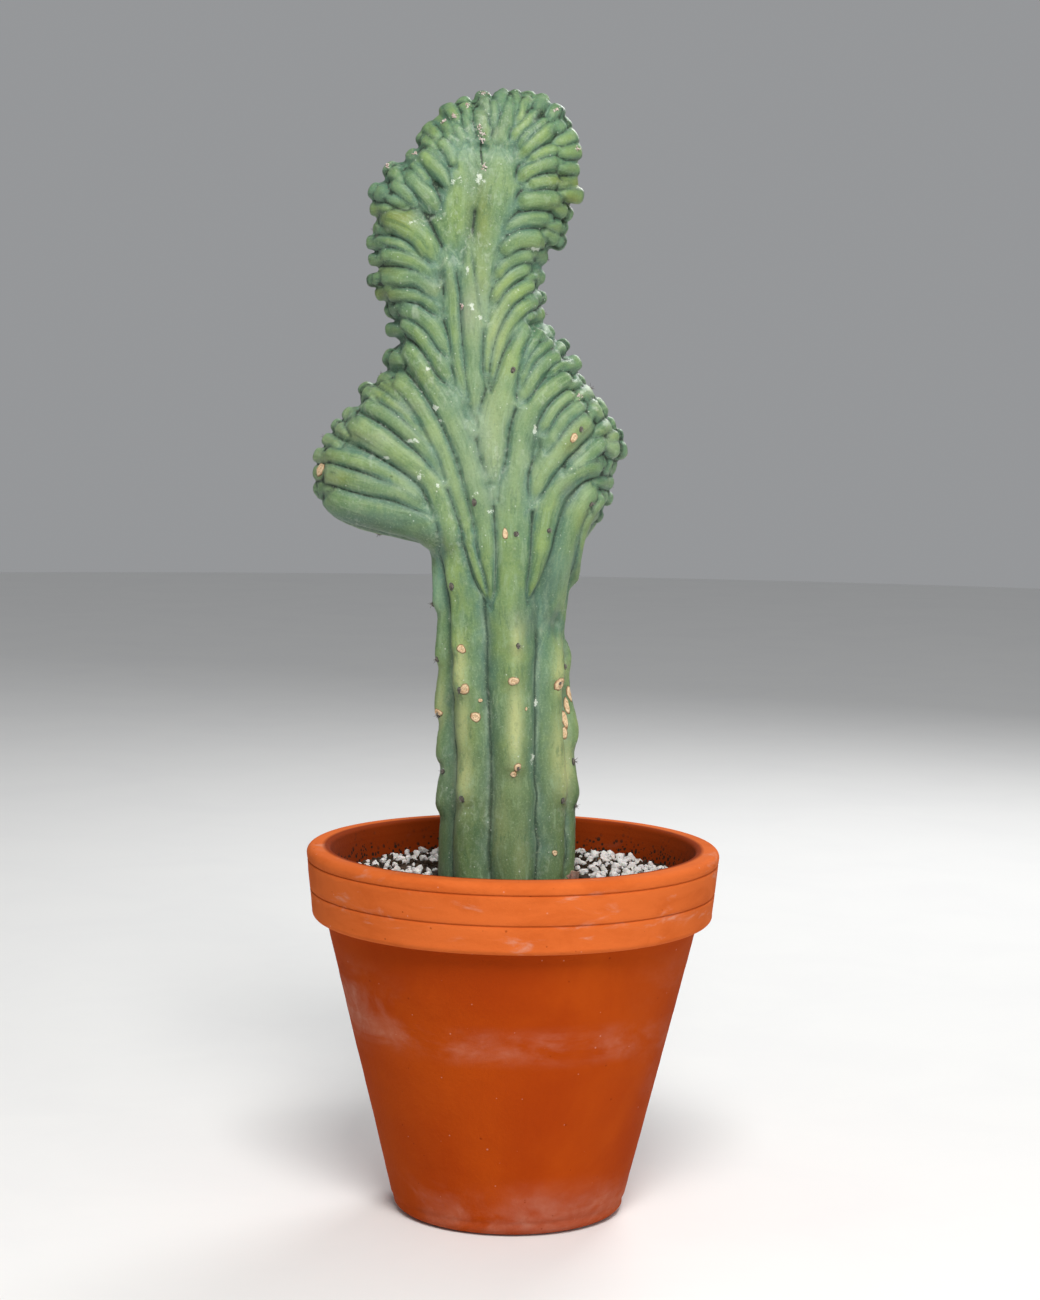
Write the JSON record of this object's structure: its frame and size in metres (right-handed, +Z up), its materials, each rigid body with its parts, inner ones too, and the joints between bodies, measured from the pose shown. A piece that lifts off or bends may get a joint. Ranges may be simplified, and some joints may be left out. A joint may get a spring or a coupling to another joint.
{
  "type": "potted crested columnar cactus",
  "caption": "Crested columnar cactus with a ribbed stem that fans out into a wavy fingered crest, standing in a terracotta pot of soil topped with perlite.",
  "frame": {"origin": "centre of the pot's underside, on the surface it stands on", "axes": "+Z up along the stem, -Y out of the crest's front face, +X to the right as seen from the front"},
  "size_m": [0.21, 0.21, 0.5665],
  "materials": {
    "terracotta": "matt unglazed fired clay with pale lime bloom and scuffs",
    "soil": "dry dark crumbly potting soil",
    "perlite": "matt white porous crumbs",
    "cactus_skin": "waxy blue-green skin, yellower on the crests of the ribs, with corky scars"
  },
  "bodies": {
    "root": {"pot": "terracotta", "soil": "soil", "perlite": "perlite", "cactus": "cactus_skin"}
  },
  "joints": []
}
